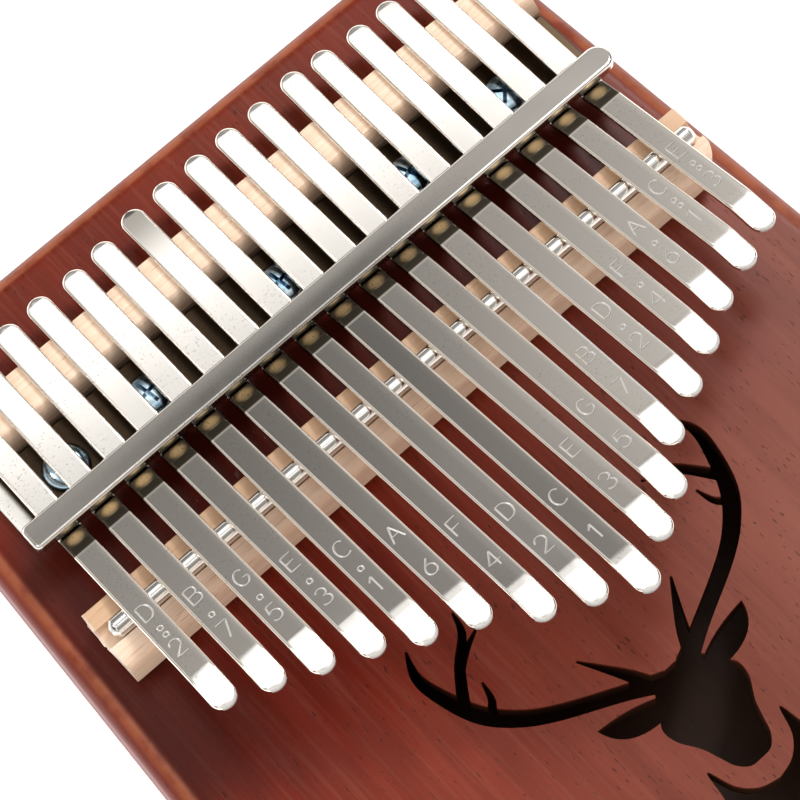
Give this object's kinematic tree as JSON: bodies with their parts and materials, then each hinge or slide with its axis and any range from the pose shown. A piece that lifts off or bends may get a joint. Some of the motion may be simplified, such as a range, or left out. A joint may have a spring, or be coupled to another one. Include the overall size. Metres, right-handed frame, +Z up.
{
  "type": "mbira",
  "caption": "Box mbira: sprung steel tines of graded length held by a pressure bar over a hollow mahogany box with a stag-head sound hole.",
  "frame": {"origin": "centre of the box's footprint, on the resting face of its back", "axes": "+X along the pressure bar to the player's right, -Y towards the player, +Z up through the soundboard"},
  "size_m": [0.1378, 0.185, 0.0544],
  "materials": {
    "body_wood": "glossy clear lacquer over red-brown mahogany",
    "rest_wood": "dark brown, open grain, satin",
    "bridge_wood": "pale pinkish wood, smooth satin front, sawn ends",
    "plate_steel": "plain bright plate",
    "rod_steel": "bright round rod",
    "bar_steel": "plated bar, pitted in places",
    "tine_steel": "polished spring steel with engraved note marks",
    "screw_zinc": "blue zinc plated"
  },
  "bodies": {
    "box": {"soundboard": "body_wood", "side_rim": "body_wood", "back_panel": "body_wood", "rear_rest": "rest_wood", "front_bridge": "bridge_wood", "base_plate": "plate_steel", "bridge_rod": "rod_steel", "pressure_bar": "bar_steel", "base_screw_1": "screw_zinc", "base_screw_2": "screw_zinc", "base_screw_3": "screw_zinc", "base_screw_4": "screw_zinc", "base_screw_5": "screw_zinc", "bar_bolt_1": "screw_zinc", "bar_bolt_2": "screw_zinc", "bar_bolt_3": "screw_zinc", "tine_01_tail": "tine_steel", "tine_02_tail": "tine_steel", "tine_03_tail": "tine_steel", "tine_04_tail": "tine_steel", "tine_05_tail": "tine_steel", "tine_06_tail": "tine_steel", "tine_07_tail": "tine_steel", "tine_08_tail": "tine_steel", "tine_09_tail": "tine_steel", "tine_10_tail": "tine_steel", "tine_11_tail": "tine_steel", "tine_12_tail": "tine_steel", "tine_13_tail": "tine_steel", "tine_14_tail": "tine_steel", "tine_15_tail": "tine_steel", "tine_16_tail": "tine_steel", "tine_17_tail": "tine_steel"},
    "tine_01": {"tine_01_tongue": "tine_steel"},
    "tine_02": {"tine_02_tongue": "tine_steel"},
    "tine_03": {"tine_03_tongue": "tine_steel"},
    "tine_04": {"tine_04_tongue": "tine_steel"},
    "tine_05": {"tine_05_tongue": "tine_steel"},
    "tine_06": {"tine_06_tongue": "tine_steel"},
    "tine_07": {"tine_07_tongue": "tine_steel"},
    "tine_08": {"tine_08_tongue": "tine_steel"},
    "tine_09": {"tine_09_tongue": "tine_steel"},
    "tine_10": {"tine_10_tongue": "tine_steel"},
    "tine_11": {"tine_11_tongue": "tine_steel"},
    "tine_12": {"tine_12_tongue": "tine_steel"},
    "tine_13": {"tine_13_tongue": "tine_steel"},
    "tine_14": {"tine_14_tongue": "tine_steel"},
    "tine_15": {"tine_15_tongue": "tine_steel"},
    "tine_16": {"tine_16_tongue": "tine_steel"},
    "tine_17": {"tine_17_tongue": "tine_steel"}
  },
  "joints": [
    {"name": "tine_01_flex", "type": "hinge", "parent": "box", "child": "tine_01", "pos_m": [-0.05207, 0.03056, 0.04245], "axis": [1, 0, 0], "range_deg": [-2, 4], "stiffness_Nm_per_rad": 9.62},
    {"name": "tine_02_flex", "type": "hinge", "parent": "box", "child": "tine_02", "pos_m": [-0.04547, 0.03056, 0.04245], "axis": [1, 0, 0], "range_deg": [-2, 4], "stiffness_Nm_per_rad": 8.47},
    {"name": "tine_03_flex", "type": "hinge", "parent": "box", "child": "tine_03", "pos_m": [-0.03867, 0.03056, 0.04245], "axis": [1, 0, 0], "range_deg": [-2, 4], "stiffness_Nm_per_rad": 7.57},
    {"name": "tine_04_flex", "type": "hinge", "parent": "box", "child": "tine_04", "pos_m": [-0.03207, 0.03056, 0.04245], "axis": [1, 0, 0], "range_deg": [-2, 4], "stiffness_Nm_per_rad": 6.78},
    {"name": "tine_05_flex", "type": "hinge", "parent": "box", "child": "tine_05", "pos_m": [-0.02527, 0.03056, 0.04245], "axis": [1, 0, 0], "range_deg": [-2, 4], "stiffness_Nm_per_rad": 6.03},
    {"name": "tine_06_flex", "type": "hinge", "parent": "box", "child": "tine_06", "pos_m": [-0.01867, 0.03056, 0.04245], "axis": [1, 0, 0], "range_deg": [-2, 4], "stiffness_Nm_per_rad": 5.48},
    {"name": "tine_07_flex", "type": "hinge", "parent": "box", "child": "tine_07", "pos_m": [-0.01167, 0.03056, 0.04245], "axis": [1, 0, 0], "range_deg": [-2, 4], "stiffness_Nm_per_rad": 4.79},
    {"name": "tine_08_flex", "type": "hinge", "parent": "box", "child": "tine_08", "pos_m": [-0.00497, 0.03056, 0.04245], "axis": [1, 0, 0], "range_deg": [-2, 4], "stiffness_Nm_per_rad": 4.45},
    {"name": "tine_09_flex", "type": "hinge", "parent": "box", "child": "tine_09", "pos_m": [0.00163, 0.03056, 0.04245], "axis": [1, 0, 0], "range_deg": [-2, 4], "stiffness_Nm_per_rad": 4.12},
    {"name": "tine_10_flex", "type": "hinge", "parent": "box", "child": "tine_10", "pos_m": [0.00833, 0.03056, 0.04245], "axis": [1, 0, 0], "range_deg": [-2, 4], "stiffness_Nm_per_rad": 4.51},
    {"name": "tine_11_flex", "type": "hinge", "parent": "box", "child": "tine_11", "pos_m": [0.01483, 0.03056, 0.04245], "axis": [1, 0, 0], "range_deg": [-2, 4], "stiffness_Nm_per_rad": 4.85},
    {"name": "tine_12_flex", "type": "hinge", "parent": "box", "child": "tine_12", "pos_m": [0.02163, 0.03056, 0.04245], "axis": [1, 0, 0], "range_deg": [-2, 4], "stiffness_Nm_per_rad": 5.66},
    {"name": "tine_13_flex", "type": "hinge", "parent": "box", "child": "tine_13", "pos_m": [0.02813, 0.03056, 0.04245], "axis": [1, 0, 0], "range_deg": [-2, 4], "stiffness_Nm_per_rad": 6.29},
    {"name": "tine_14_flex", "type": "hinge", "parent": "box", "child": "tine_14", "pos_m": [0.03513, 0.03056, 0.04245], "axis": [1, 0, 0], "range_deg": [-2, 4], "stiffness_Nm_per_rad": 6.97},
    {"name": "tine_15_flex", "type": "hinge", "parent": "box", "child": "tine_15", "pos_m": [0.04153, 0.03056, 0.04245], "axis": [1, 0, 0], "range_deg": [-2, 4], "stiffness_Nm_per_rad": 7.93},
    {"name": "tine_16_flex", "type": "hinge", "parent": "box", "child": "tine_16", "pos_m": [0.04843, 0.03056, 0.04245], "axis": [1, 0, 0], "range_deg": [-2, 4], "stiffness_Nm_per_rad": 8.74},
    {"name": "tine_17_flex", "type": "hinge", "parent": "box", "child": "tine_17", "pos_m": [0.05523, 0.03056, 0.04245], "axis": [1, 0, 0], "range_deg": [-2, 4], "stiffness_Nm_per_rad": 9.84}
  ]
}
